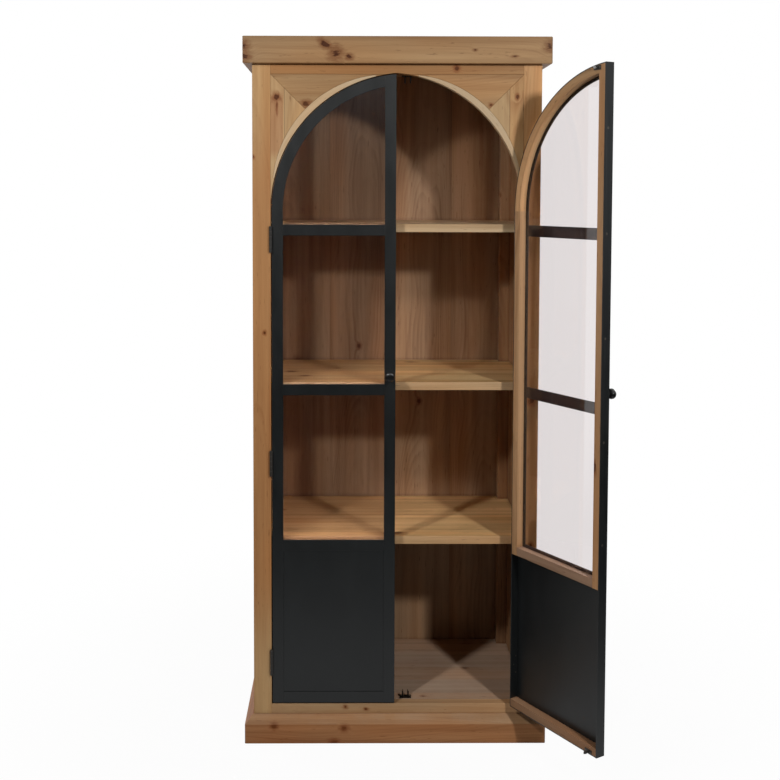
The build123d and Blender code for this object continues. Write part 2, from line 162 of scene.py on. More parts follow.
def newGroup(name, inputs, *outputs):
    # each group also reads a Vector; three values are a vector, four a colour, one a number
    tree = bpy.data.node_groups.new(name, "ShaderNodeTree")
    for label, value in {"Vector": (0, 0, 0), **inputs}.items():
        kind = {3: "Vector", 4: "Color"}[len(value)] if isinstance(value, tuple) else "Float"
        socket = tree.interface.new_socket(label, in_out="INPUT", socket_type="NodeSocket" + kind)
        socket.default_value = value
    for label in outputs:
        kind = {"Vector": "Vector", "Colour": "Color"}.get(label, "Float")
        tree.interface.new_socket(label, in_out="OUTPUT", socket_type="NodeSocket" + kind)
    return tree, tree.nodes.new("NodeGroupInput").outputs, tree.nodes.new("NodeGroupOutput").inputs


def socketLabel(key):
    # headWidth is the socket Head Width
    return "".join(" " + letter if letter.isupper() else letter for letter in key).title()


def useGroup(tree, group, **inputs):
    node = tree.nodes.new("ShaderNodeGroup")
    node.node_tree = group
    for key, value in inputs.items():
        feed(tree, node.inputs[socketLabel(key)], value)
    return node.outputs


# Glued staves: how far their grain is moved along and across, their tones, and a joint's width
staveLook = {"along": 5.0, "across": 0.07, "tone": 0.16, "jointWidth": 0.0011}


def makeStaves():
    # splits a wide board into glued staves, each with its own grain
    tree, given, result = newGroup("gluedStaves", {"Width": 0.12, "Seed": 0.0}, "Vector", "Tone", "Joint")
    x, y, z = splitXYZ(tree, given["Vector"])
    place = calc(tree, "DIVIDE", y, given["Width"])
    index = plus(tree, calc(tree, "FLOOR", place), given["Seed"])
    pick = addNode(tree, "ShaderNodeTexWhiteNoise", {"W": index}, noise_dimensions="1D")
    red, green, blue = addNode(tree, "ShaderNodeSeparateColor", {"Color": pick.outputs["Color"]}).outputs
    within = minus(tree, calc(tree, "FRACT", place), 0.5)
    across = times(tree, within, given["Width"])
    slip = scaled(tree, green, staveLook["across"], -staveLook["across"] / 2)
    along = scaled(tree, red, staveLook["along"], x)
    feed(tree, result["Vector"], joinXYZ(tree, along, plus(tree, across, slip), z))
    feed(tree, result["Tone"], scaled(tree, blue, staveLook["tone"], -staveLook["tone"] / 2))
    gap = minus(tree, times(tree, given["Width"], 0.5), calc(tree, "ABSOLUTE", across))
    feed(tree, result["Joint"], ease(tree, gap, 0.0, staveLook["jointWidth"], 1.0, 0.0))
    return tree


# Knots: how they lift the rings about them, a reach that is past them all, and the random ones
knotLook = {"lift": 1.15, "fall": -0.22, "farReach": 9.0, "cell": (0.36, 0.11), "stretch": 1.35}


def liftRings(tree, given, result, reach, radius, fade=0.0):
    # the grain flows round a knot, because it lifts the ring field
    fall = calc(tree, "EXPONENT", times(tree, times(tree, reach, reach), knotLook["fall"]))
    lift = times(tree, times(tree, fall, radius), knotLook["lift"])
    feed(tree, result["Field"], plus(tree, given["Field"], lift))
    feed(tree, result["Reach"], calc(tree, "MINIMUM", given["Reach"], plus(tree, reach, fade)))


def makeKnot():
    tree, given, result = newGroup("knotMark", {
        "Centre": (0, 0, 0), "Radius": 0.008, "Stretch": 1.3, "Turn": 0.0, "Fade": 0.0,
        "Field": 0.0, "Reach": knotLook["farReach"],
    }, "Field", "Reach")
    turned = addNode(tree, "ShaderNodeVectorRotate", {
        "Vector": given["Vector"], "Center": given["Centre"], "Angle": given["Turn"],
    }, rotation_type="Z_AXIS").outputs[0]
    x, y = splitXYZ(tree, vectorCalc(tree, "SUBTRACT", turned, given["Centre"]))[:2]
    along = calc(tree, "DIVIDE", x, times(tree, given["Radius"], given["Stretch"]))
    across = calc(tree, "DIVIDE", y, given["Radius"])
    reach = vectorCalc(tree, "LENGTH", joinXYZ(tree, along, across, 0.0))
    liftRings(tree, given, result, reach, given["Radius"], given["Fade"])
    return tree


def makeScatteredKnots():
    # knots at random places, one at most in each long cell of the board
    tree, given, result = newGroup("scatteredKnots", {
        "Amount": 0.3, "Radius": 0.008, "Seed": 0.0, "Field": 0.0, "Reach": knotLook["farReach"],
    }, "Field", "Reach")
    long, wide = knotLook["cell"]
    shift = joinXYZ(tree, times(tree, given["Seed"], 3.7), given["Seed"], 0.0)
    place = vectorCalc(tree, "MULTIPLY", given["Vector"], (1 / long, 1 / wide, 0.0))
    place = vectorCalc(tree, "ADD", place, shift)
    cells = addNode(tree, "ShaderNodeTexVoronoi", {"Vector": place, "Scale": 1.0}, voronoi_dimensions="2D")
    x, y = splitXYZ(tree, vectorCalc(tree, "SUBTRACT", place, cells.outputs["Position"]))[:2]
    red, green = addNode(tree, "ShaderNodeSeparateColor", {"Color": cells.outputs["Color"]}).outputs[:2]
    radius = times(tree, given["Radius"], plus(tree, red, 0.45))
    along = calc(tree, "DIVIDE", times(tree, x, long / knotLook["stretch"]), radius)
    across = calc(tree, "DIVIDE", times(tree, y, wide), radius)
    reach = vectorCalc(tree, "LENGTH", joinXYZ(tree, along, across, 0.0))
    missing = calc(tree, "GREATER_THAN", green, given["Amount"])
    liftRings(tree, given, result, scaled(tree, missing, knotLook["farReach"], reach), radius)
    return tree


# The pine's layers: their stretch along, across and into the board, detail and roughness
grainLayers = {
    "bend": ((1.5, 7, 7), 1.5),
    "waver": ((9, 34, 34), 2.0),
    "clear": ((1.2, 11, 11), 2.0),
    "streak": ((1.6, 48, 48), 3.0, 0.6),
    "fibre": ((14, 620, 620), 2.0, 0.7),
    "patch": ((1.3, 6, 6), 2.0),
    "band": ((0.9, 20, 20), 2.0),
    "fleck": ((26, 210, 210), 2.0),
    "ragged": ((60, 150, 150), 3.0, 0.6),
}
# and how strongly they show: pairs are a factor and what is added to it
grainLook = {
    "seedStep": (1.37, 2.11, 0.73),
    "waver": 0.0035,
    "lateWood": 0.78,  # where in its ring a year is darkest
    "strongYears": (0.85, 0.15),
    "streak": (1.25, -0.47),
    "band": (1.3, -0.6),
    "fibre": 0.34,
    "warmth": 0.7,
    "warmTint": (1.04, 0.84, 0.66, 1),
    "patch": (0.5, 0.75),
    "fleck": 0.5,
    "halo": 0.85,
    "rustTint": (0.88, 0.56, 0.38, 1),
    "knotRings": 17.0,
    "knotRing": (0.1, 0.86),
    "knotRim": 0.15,
    "roughness": (0.18, 0.44),
}


def makePineGrain():
    # growth rings about a pith line behind the face, fibres, tone and knots
    tree, given, result = newGroup("pineGrain", {
        "Seed": 0.0, "Pith Side": 0.0, "Pith Depth": 0.08, "Pith Tilt": 0.03, "Ring Width": 0.0045,
        "Wave": 0.05, "Contrast": 0.6, "Field": 0.0, "Reach": knotLook["farReach"], "Tone": 0.0,
        "Joint": 0.0, "Light Wood": (0.4, 0.2, 0.1, 1), "Dark Wood": (0.2, 0.1, 0.05, 1),
        "Knot Wood": (0.05, 0.02, 0.01, 1),
    }, "Colour", "Roughness", "Height")
    look = grainLook
    seed = joinXYZ(tree, *[given["Seed"]] * 3)
    seed = vectorCalc(tree, "MULTIPLY", seed, look["seedStep"])
    place = vectorCalc(tree, "ADD", given["Vector"], seed)
    layers = {name: noise(tree, place, *layer) for name, layer in grainLayers.items()}
    shade = {name: layer["Fac"] for name, layer in layers.items()}
    x, y, z = splitXYZ(tree, given["Vector"])
    bend = splitXYZ(tree, layers["bend"]["Color"])
    side = scaled(tree, minus(tree, bend[0], 0.5), given["Wave"], y)
    side = minus(tree, side, given["Pith Side"])
    deep = scaled(tree, minus(tree, bend[1], 0.5), given["Wave"], z)
    deep = plus(tree, deep, scaled(tree, x, given["Pith Tilt"], given["Pith Depth"]))
    field = vectorCalc(tree, "LENGTH", joinXYZ(tree, side, deep, 0.0))
    field = plus(tree, field, given["Field"])
    field = scaled(tree, minus(tree, shade["waver"], 0.5), look["waver"], field)
    phase = calc(tree, "DIVIDE", field, given["Ring Width"])
    index = plus(tree, calc(tree, "FLOOR", phase), given["Seed"])
    year = addNode(tree, "ShaderNodeTexWhiteNoise", {"W": index}, noise_dimensions="1D")
    within = calc(tree, "FRACT", phase)
    late = ease(tree, within, 0.1, look["lateWood"])
    late = times(tree, late, ease(tree, within, look["lateWood"], 1.0, 1.0, 0.0))
    strong = scaled(tree, calc(tree, "POWER", year.outputs["Value"], 1.8), *look["strongYears"])
    late = times(tree, late, times(tree, strong, ease(tree, shade["clear"], 0.36, 0.64, 0.25, 1.0)))
    dark = times(tree, late, given["Contrast"])
    for name in ("streak", "band"):
        dark = plus(tree, dark, scaled(tree, shade[name], *look[name]))
    dark = scaled(tree, shade["fibre"], look["fibre"], minus(tree, dark, 0.12), clamp=True)
    colour = blendColour(tree, dark, given["Light Wood"], given["Dark Wood"])
    # reddish and greyish patches, then the board's own tone
    patch = splitXYZ(tree, layers["patch"]["Color"])
    warm = ease(tree, patch[0], 0.42, 0.68, 0.0, look["warmth"])
    colour = blendColour(tree, warm, colour, tinge(tree, colour, look["warmTint"]))
    tone = plus(tree, scaled(tree, patch[1], *look["patch"]), given["Tone"])
    tone = times(tree, tone, scaled(tree, given["Joint"], -0.5, 1.0))
    colour = tinge(tree, colour, joinXYZ(tree, tone, tone, tone))
    fleck = ease(tree, shade["fleck"], 0.66, 0.76, 0.0, look["fleck"])
    colour = blendColour(tree, fleck, colour, given["Knot Wood"])
    # the heart of a knot with its rings, a dark rim, and the stained wood about it
    ragged = scaled(tree, shade["ragged"], 2.2, minus(tree, given["Reach"], 1.1))
    halo = ease(tree, ragged, 0.6, 2.7, look["halo"], 0.0)
    rust = tinge(tree, given["Dark Wood"], look["rustTint"])
    colour = blendColour(tree, halo, colour, blendColour(tree, 0.2, rust, given["Knot Wood"]))
    heart = ease(tree, ragged, 0.55, 1.1, 1.0, 0.0)
    ring = scaled(tree, calc(tree, "SINE", times(tree, ragged, look["knotRings"])), *look["knotRing"])
    rim = times(tree, ease(tree, ragged, 0.3, 0.8), look["knotRim"])
    core = times(tree, heart, plus(tree, ring, rim), clamp=True)
    feed(tree, result["Colour"], blendColour(tree, core, colour, given["Knot Wood"]))
    rough = scaled(tree, shade["fibre"], *look["roughness"])
    feed(tree, result["Roughness"], scaled(tree, late, -0.06, rough))
    height = scaled(tree, shade["fibre"], 0.35, times(tree, late, 0.5))
    height = minus(tree, height, times(tree, given["Joint"], 1.4))
    feed(tree, result["Height"], minus(tree, height, times(tree, heart, 0.5)))
    return tree


def makeEdgeWear():
    # rubbed corners, found where the surface turns within a small radius
    tree, given, result = newGroup("edgeWear", {"Radius": 0.0025, "Amount": 0.6, "Grain": 60.0}, "Mask")
    rounded = addNode(tree, "ShaderNodeBevel", {"Radius": given["Radius"]}, samples=3)
    plain = addNode(tree, "ShaderNodeNewGeometry")
    turn = vectorCalc(tree, "DOT_PRODUCT", rounded.outputs[0], plain.outputs["Normal"])
    corner = ease(tree, minus(tree, 1.0, turn), 0.01, 0.16)
    spots = addNode(tree, "ShaderNodeTexNoise", {
        "Vector": given["Vector"], "Scale": given["Grain"], "Detail": 3.0, "Roughness": 0.65,
    }).outputs["Fac"]
    rubbed = times(tree, corner, ease(tree, spots, 0.38, 0.62, 0.25, 1.0))
    feed(tree, result["Mask"], times(tree, rubbed, given["Amount"], clamp=True))
    return tree


def makePaintedCornerShade():
    # painted shade: dark lines where boards meet, found by ambient occlusion and broken up by noise
    tree, given, result = newGroup("paintedCornerShade", {"Distance": 0.012, "Amount": 0.6}, "Shade")
    closed = addNode(tree, "ShaderNodeAmbientOcclusion", {"Distance": given["Distance"]}, samples=4)
    spots = noise(tree, given["Vector"], (40, 40, 40), 3.0)["Fac"]
    deep = minus(tree, 1.0, closed.outputs["AO"])
    deep = times(tree, deep, scaled(tree, spots, 0.8, 0.6))
    feed(tree, result["Shade"], times(tree, deep, given["Amount"], clamp=True))
    return tree


def makeDust():
    # a thin veil on what faces up
    tree, given, result = newGroup("settledDust", {"Amount": 0.15}, "Mask")
    facing = splitXYZ(tree, addNode(tree, "ShaderNodeNewGeometry").outputs["Normal"])[2]
    veil = noise(tree, given["Vector"], (11, 11, 11), 4.0, 0.65)["Fac"]
    mask = times(tree, ease(tree, facing, 0.4, 0.95), ease(tree, veil, 0.35, 0.7, 0.3, 1.0))
    feed(tree, result["Mask"], times(tree, mask, given["Amount"], clamp=True))
    return tree


def makePaintedSteel():
    # satin paint on steel: fine orange peel, smudges and a slight drift of colour
    tree, given, result = newGroup("paintedSteel", {
        "Paint": (0.01, 0.01, 0.01, 1), "Drift": (0.02, 0.02, 0.02, 1), "Gloss": 0.42, "Peel": 520.0,
    }, "Colour", "Roughness", "Height")
    cloud = noise(tree, given["Vector"], (5, 5, 3), 3.0, 0.55)["Fac"]
    smudge = noise(tree, given["Vector"], (26, 26, 9), 4.0, 0.6)["Fac"]
    peel = addNode(tree, "ShaderNodeTexNoise", {
        "Vector": given["Vector"], "Scale": given["Peel"], "Detail": 2.0,
    }).outputs["Fac"]
    colour = blendColour(tree, ease(tree, cloud, 0.35, 0.68), given["Paint"], given["Drift"])
    feed(tree, result["Colour"], colour)
    rough = plus(tree, given["Gloss"], scaled(tree, smudge, 0.2, -0.1))
    feed(tree, result["Roughness"], scaled(tree, peel, 0.08, rough))
    feed(tree, result["Height"], peel)
    return tree


gluedStaves = makeStaves()
knotMark = makeKnot()
scatteredKnots = makeScatteredKnots()
pineGrain = makePineGrain()
edgeWear = makeEdgeWear()
paintedCornerShade = makePaintedCornerShade()
settledDust = makeDust()
paintedSteel = makePaintedSteel()
print("shader groups built")


def newMaterial(name):
    material = bpy.data.materials.new(name)
    material.use_nodes = True
    tree = material.node_tree
    tree.nodes.clear()
    shader = tree.nodes.new("ShaderNodeBsdfPrincipled")
    addNode(tree, "ShaderNodeOutputMaterial", {"Surface": shader.outputs[0]})
    return material, tree, shader


def finishSurface(tree, shader, colour, roughness, height, bump, depth):
    relief = addNode(tree, "ShaderNodeBump", {"Height": height, "Strength": bump, "Distance": depth})
    feed(tree, shader.inputs["Base Color"], colour)
    feed(tree, shader.inputs["Roughness"], roughness)
    feed(tree, shader.inputs["Normal"], relief.outputs[0])


def mixShaders(tree, share, first, second):
    # the surface shows the second shader by its share, and else the first
    mixed = addNode(tree, "ShaderNodeMixShader", {0: share, 1: first.outputs[0], 2: second.outputs[0]})
    output = next(node for node in tree.nodes if node.type == "OUTPUT_MATERIAL")
    feed(tree, output.inputs["Surface"], mixed.outputs[0])


def closedPlace(tree, onOpenDoor):
    # object coordinates, and for a piece of the open door its place when the door is shut
    place = addNode(tree, "ShaderNodeTexCoord").outputs["Object"]
    if not onOpenDoor:
        return place
    back = Matrix.Rotation(-doorTurn, 3, "Z")
    return addNode(tree, "ShaderNodeMapping", {
        "Vector": place, "Location": doorHinge - back @ doorHinge, "Rotation": (0, 0, -doorTurn),
    }, vector_type="POINT").outputs[0]


# Woods by where they are used, as they look under plain light: their light, dark and knot
# colours, and the rings' contrast
woods = {
    "frame": ((188, 149, 107), (148, 102, 63), (84, 42, 8), 0.42),
    "cornice": ((170, 135, 99), (128, 92, 62), (66, 27, 3), 0.38),
    "plinth": ((170, 126, 90), (122, 78, 49), (106, 56, 16), 0.45),
    "shelf": ((184, 150, 108), (140, 104, 66), (84, 50, 30), 0.35),
    "side": ((168, 132, 98), (122, 87, 60), (80, 42, 18), 0.42),
    "back": ((160, 126, 96), (112, 80, 57), (76, 42, 20), 0.42),
    "floor": ((194, 166, 144), (160, 130, 108), (90, 62, 46), 0.2),
    "filler": ((206, 172, 135), (180, 142, 105), (120, 80, 52), 0.25),
    "liner": ((182, 145, 114), (140, 100, 72), (92, 50, 26), 0.4),
}

# Each board: its wood, which of X, Y and Z run along, across and into it, and what is its own.
# Knots are (x, z, radius, stretch) on its front, some with a turn in degrees and a fade; a patch is
# an area of another tint, as (from, to, soft edge) along some axes; an end tint's zone is its
# middle, and how far from there it starts and is full
boards = {
    "cornice_front": ("cornice", "xzy", {
        "pithSide": -0.05, "tint": (1.15, 1.24, 1.25),
        "knots": [
            (-0.209, 2.075, 0.0075, 1.9, 32, 0.0), (-0.179, 2.049, 0.017, 1.0, 0, 0.3),
            (-0.141, 2.040, 0.0065, 1.3), (0.440, 2.071, 0.012, 1.0, 0, 0.3),
            (-0.445, 2.070, 0.012, 1.0, 0, 0.3), (-0.443, 2.040, 0.012, 1.2, 0, 0.4),
            (0.224, 2.060, 0.004, 1.5, 0, 0.5), (0.340, 2.043, 0.003, 3.0, 0, 0.3),
        ],
        "patches": [{"x": (0.3, 0.6, 0.3), "tint": (1.04, 1.12, 1.2)}],
    }),
    "cornice_left": ("cornice", "yzx", {"pithSide": 0.03}),
    "cornice_right": ("cornice", "yzx", {"pithSide": -0.03}),
    "top_board": ("cornice", "xyz", {"staves": 0.118}),
    "head_rail": ("frame", "xzy", {
        "pithSide": 0.045, "tone": -0.12, "tint": (1.05, 1.0, 0.88),
        "knots": [(0.174, 2.012, 0.0075, 0.9)],
    }),
    "spandrel_boards": ("frame", "xzy", {
        "pithSide": 0.06, "tint": (1.01, 1.08, 1.08),
        "knots": [(-0.266, 1.906, 0.008, 1.3), (0.275, 1.904, 0.005, 1.3, 0, 0.3)],
        # painted light: the left half is tinted darker and the right half lighter, as if the light fell more
        # on the right
        "patches": [
            {"x": (-0.5, 0.0, 0.001), "tint": (0.92, 0.93, 0.95)},
            {"x": (0.0, 0.5, 0.001), "tint": (1.09, 1.1, 1.13)},
        ],
    }),
    "haunch_boards": ("frame", "zxy", {
        "pithSide": -0.02, "folded": True, "staves": 0.1, "staveShift": -0.0085,
        "tint": (1.13, 1.3, 1.4),
        "knots": [
            (-0.354, 1.926, 0.0075, 1.1), (-0.352, 1.897, 0.003, 5.5, 0, 0.35), (0.352, 1.928, 0.0045, 1.4),
        ],
        "patches": [
            {"x": (-0.38, -0.334, 0.001), "z": (1.775, 1.913, 0.04), "tint": (0.82, 0.68, 0.64)},
            # painted light: the right outer stave is tinted lighter, reaching down over the open door's
            # shadow
            {"x": (0.334, 0.38, 0.001), "z": (1.7, 2.0, 0.04), "tint": (1.12, 1.15, 1.17)},
        ],
    }),
    "arch_fillers": ("filler", "arc", {
        "scatter": 0.0, "folded": True, "ringWidth": 0.006, "tint": (1.14, 1.34, 1.5),
    }),
    "stile_left": ("frame", "zxy", {
        "pithSide": -0.02, "scatter": 0.12, "tint": (0.9, 0.76, 0.62),
        "knots": [(-0.421, 1.751, 0.003, 1.4, 0, 0.2)],
        "endTint": (1.32, 1.78, 2.25), "endZone": (0.03, 0.57, 0.97),
    }),
    "stile_right": ("frame", "zxy", {
        # painted light: the whole stile is tinted lighter and warmer, standing in for light that fills the
        # open door's shadow on it
        "pithSide": 0.02, "scatter": 0.12, "tint": (1.3, 1.18, 1.0),
        "knots": [(0.376, 1.765, 0.006, 1.5)], "endTint": (1.15, 1.3, 1.5), "endZone": (0.08, 0.5, 0.9),
    }),
    "bottom_rail": ("frame", "xzy", {
        "pithSide": 0.03, "tint": (1.09, 1.225, 1.37),
        "knots": [(-0.150, 0.1005, 0.005, 1.3, 0, 0.35), (-0.087, 0.093, 0.004, 1.6, 0, 0.35)],
        "patches": [{"x": (0.1, 0.5, 0.15), "tint": (1.06, 1.09, 1.16)}],
    }),
    "plinth_front": ("plinth", "xzy", {
        "pithSide": 0.03, "dust": 0.45, "tint": (1.19, 1.135, 1.01),
        "knots": [
            (-0.363, 0.052, 0.0065, 1.2), (-0.153, 0.047, 0.0075, 1.3, 0, 0.3), (-0.183, 0.004, 0.007, 1.4),
        ],
        "patches": [{"z": (0.0585, 0.09, 0.001), "tint": (0.99, 1.13, 1.18)}],
    }),
    "plinth_left": ("plinth", "yzx", {"pithSide": 0.02}),
    "plinth_right": ("plinth", "yzx", {"pithSide": -0.02}),
    "side_panel_left": ("side", "zyx", {"staves": 0.116, "scatter": 0.3}),
    "side_panel_right": ("side", "zyx", {"staves": 0.116, "scatter": 0.3}),
    "rear_posts": ("side", "zxy", {"folded": True, "tone": -0.08}),
    "back_panel": ("back", "zxy", {
        "staves": 0.205, "scatter": 0.1, "wave": 0.09, "jointDepth": 0.3, "tint": (1.08, 1.18, 1.24),
    }),
    "rear_rail": ("side", "xzy", {}),
    "inner_head_rail": ("side", "xzy", {"tint": (1.3, 1.3, 1.2)}),
    "floor_board": ("floor", "xyz", {"staves": 0.093, "scatter": 0.25, "jointDepth": 0.35, "dust": 0.4}),
    "shelf_low": ("shelf", "xyz", {
        "staves": 0.09, "scatter": 0.3, "tint": (1.38, 1.4, 1.5),
        "patches": [{"y": (-0.194, 0.3, 0.002), "tint": (1.17, 1.17, 1.04)}],
    }),
    "shelf_middle": ("shelf", "xyz", {
        "staves": 0.09, "scatter": 0.3, "tint": (1.29, 1.46, 1.78),
        "patches": [{"y": (-0.194, 0.3, 0.002), "tint": (1.2, 1.17, 0.97)}],
    }),
    "shelf_high": ("shelf", "xyz", {"staves": 0.09, "scatter": 0.3, "tint": (1.42, 1.65, 2.05)}),
}
doorBoards = {
    "liner_hinge_side": ("liner", "zxy", {"scatter": 0.35, "tint": (1.17, 1.17, 1.03)}),
    "liner_meeting_side": ("liner", "zxy", {"scatter": 0.35, "tint": (1.1, 1.1, 1.0)}),
    "liner_arch": ("liner", "arc", {"scatter": 0.15, "tint": (1.42, 1.5, 1.35)}),
    "liner_bottom": ("liner", "xzy", {"tint": (0.86, 0.9, 1.0)}),
    "bottom_batten": ("liner", "xzy", {"tone": -0.1}),
}
woodLook = {
    "ringWidth": 0.0046,
    "pithDepth": 0.075,
    "pithTilt": 0.028,
    "knotRadius": 0.0075,
    "scatter": 0.2,
    "wear": 0.35,
    # how dark the painted shade in corners and joints gets
    "paintedShade": 0.55,
    "bump": 0.35,
    "bumpDepth": 0.0006,
    "bevel": 0.0012,
    "dustColour": (188, 168, 146),
    "shine": 0.2,
    "palest": 0.9,  # the most of a colour that a tint may reach
    "pairSlip": 3.3,  # how far along its wood the right one of a pair is read
    "foldedWidth": 0.1,  # how wide the boards of a pair are taken to be
    "arcMiddle": 0.3,  # where along an arch its pattern starts
}


def boardPoint(axes, point):
    # a point in object coordinates as (along, across, deep) on a board
    if axes == "arc":
        dx, dz = point[0] + math.copysign(archShift, point[0]), point[2] - springLevel
        return Vector((math.atan2(dz, abs(dx)) * archRadius, math.hypot(dx, dz), point[1]))
    return Vector([point["xyz".index(axis)] for axis in axes])


def boardSpace(tree, axes, folded, place, middle):
    # the place on a board, and the same with the two sides of a pair reading different wood
    x, y, z = splitXYZ(tree, place)
    if folded or axes == "arc":
        x = calc(tree, "ABSOLUTE", x)
    if axes == "arc":
        across, up = plus(tree, x, archShift), minus(tree, z, springLevel)
        along = times(tree, calc(tree, "ARCTAN2", up, across), archRadius)
        spread = joinXYZ(tree, along, vectorCalc(tree, "LENGTH", joinXYZ(tree, across, up, 0.0)), y)
    else:
        spread = joinXYZ(tree, *[{"x": x, "y": y, "z": z}[axis] for axis in axes])
    spread = vectorCalc(tree, "SUBTRACT", spread, middle)
    if not folded:
        return spread, spread
    right = calc(tree, "GREATER_THAN", splitXYZ(tree, place)[0], 0.0)
    slip = joinXYZ(tree, times(tree, right, woodLook["pairSlip"]), 0.0, 0.0)
    return spread, vectorCalc(tree, "ADD", spread, slip)


def boardMiddle(axes, folded, box):
    low, high = box
    if axes == "arc":
        return Vector((woodLook["arcMiddle"], archRadius, (low.y + high.y) / 2))
    if folded:
        inner = high.x - min(woodLook["foldedWidth"], high.x)
        low, high = Vector((high.x, low.y, low.z)), Vector((inner, high.y, high.z))
    return (boardPoint(axes, low) + boardPoint(axes, high)) / 2


def tinted(colour, tint):
    return [*(min(value * share, woodLook["palest"]) for value, share in zip(linear(*colour), tint)), 1.0]


def pineMaterial(name, board, seed, box, onOpenDoor=False):
    material, tree, shader = newMaterial("pine_" + name)
    kind, axes, board = board
    *colours, contrast = woods[kind]
    folded, tint, seed = board.get("folded"), board.get("tint", (1, 1, 1)), float(seed)
    light, dark, knot = tinted(colours[0], tint), tinted(colours[1], tint), linear(*colours[2])
    place = closedPlace(tree, onOpenDoor)
    middle = boardMiddle(axes, folded, box)
    spread, slipped = boardSpace(tree, axes, folded, place, middle)
    tone, joint, grainPlace = board.get("tone", 0.0), 0.0, slipped
    # a board with knots of its own has no random ones, unless it says so
    scatter = board.get("scatter", 0.0 if "knots" in board else woodLook["scatter"])
    if "staves" in board:
        moved = vectorCalc(tree, "ADD", slipped, (0.0, board.get("staveShift", 0.0), 0.0))
        staved = useGroup(tree, gluedStaves, vector=moved, width=board["staves"], seed=seed)
        grainPlace = staved["Vector"]
        joint = times(tree, staved["Joint"], board.get("jointDepth", 1.0))
        tone = plus(tree, staved["Tone"], tone)
    field = useGroup(
        tree, scatteredKnots, vector=grainPlace, seed=seed, amount=scatter, radius=woodLook["knotRadius"],
    )
    for knotX, knotZ, radius, stretch, *extra in board.get("knots", ()):
        turn, fade = extra or (0.0, 0.0)
        centre = boardPoint(axes, (abs(knotX) if folded else knotX, box[0].y, knotZ)) - middle
        if folded and knotX > 0:
            centre.x += woodLook["pairSlip"]
        field = useGroup(
            tree, knotMark, vector=slipped, centre=centre, radius=radius, stretch=stretch,
            turn=math.radians(turn), fade=fade, field=field["Field"], reach=field["Reach"],
        )
    grain = useGroup(
        tree, pineGrain, vector=grainPlace, seed=seed, pithSide=board.get("pithSide", 0.0),
        pithDepth=woodLook["pithDepth"], pithTilt=woodLook["pithTilt"],
        ringWidth=board.get("ringWidth", woodLook["ringWidth"]), wave=board.get("wave", 0.05),
        contrast=contrast, field=field["Field"], reach=field["Reach"], tone=tone, joint=joint,
        lightWood=light, darkWood=dark, knotWood=knot,
    )
    colour = grain["Colour"]
    if "endTint" in board:
        centre, start, full = board["endZone"]
        away = calc(tree, "ABSOLUTE", minus(tree, splitXYZ(tree, spread)[0], centre))
        other = tinge(tree, colour, (*board["endTint"], 1))
        colour = blendColour(tree, ease(tree, away, start, full), colour, other)
    for patch in board.get("patches", ()):
        share = 1.0
        for axis, level in zip("xyz", splitXYZ(tree, place)):
            if axis in patch:
                start, end, soft = patch[axis]
                share = times(tree, share, ease(tree, level, start - soft, start))
                share = times(tree, share, ease(tree, level, end, end + soft, 1.0, 0.0))
        colour = blendColour(tree, share, colour, tinge(tree, colour, (*patch["tint"], 1)))
    worn = useGroup(tree, edgeWear, vector=place, amount=woodLook["wear"])["Mask"]
    # painted shade: corners and joints are darkened towards the knot colour where the occlusion finds them
    paintedShade = useGroup(tree, paintedCornerShade, vector=place, amount=woodLook["paintedShade"])["Shade"]
    colour = blendColour(tree, worn, colour, light)
    colour = blendColour(tree, paintedShade, colour, knot)
    if "dust" in board:
        veil = useGroup(tree, settledDust, vector=place, amount=board["dust"])["Mask"]
        colour = blendColour(tree, veil, colour, linear(*woodLook["dustColour"]))
    shader.inputs["Specular IOR Level"].default_value = woodLook["shine"]
    finishSurface(
        tree, shader, colour, grain["Roughness"], grain["Height"], woodLook["bump"], woodLook["bumpDepth"],
    )
    return material


# Painted steel and hardware
metalLook = {
    "edge": 0.0006,
    "wearRadius": 0.0016,
    "wearGrain": 140.0,
    "dustColour": (150, 142, 130),
    "dustRoughness": 0.4,
    "bumpDepth": 0.0002,
    # the next is the soft edge of the painted bounce light on the bars' hidden backs
    "paintedBounceEdge": 0.0002,
}
metals = {
    "blackSteel": {
        "paint": (14, 17, 18), "drift": (20, 23, 24), "gloss": 0.3, "peel": 520.0,
        "worn": (70, 68, 64), "wear": 0.2, "dust": 0.05, "shine": 0.5, "bump": 0.12, "paintedBounce": (46, 37, 34),
    },
    "blackKnob": {
        "paint": (18, 18, 18), "drift": (24, 24, 24), "gloss": 0.03, "peel": 300.0,
        "worn": (70, 66, 60), "wear": 0.12, "dust": 0.04, "shine": 0.5, "bump": 0.03,
    },
    "catchSteel": {
        "paint": (16, 13, 11), "drift": (26, 21, 18), "gloss": 0.5, "peel": 700.0,
        "worn": (92, 80, 70), "wear": 0.25, "dust": 0.02, "shine": 0.1, "bump": 0.15,
    },
    "darkHardware": {
        "paint": (34, 32, 30), "drift": (48, 44, 40), "gloss": 0.36, "peel": 700.0,
        "worn": (116, 108, 98), "wear": 0.45, "dust": 0.06, "shine": 0.45, "bump": 0.15,
    },
}


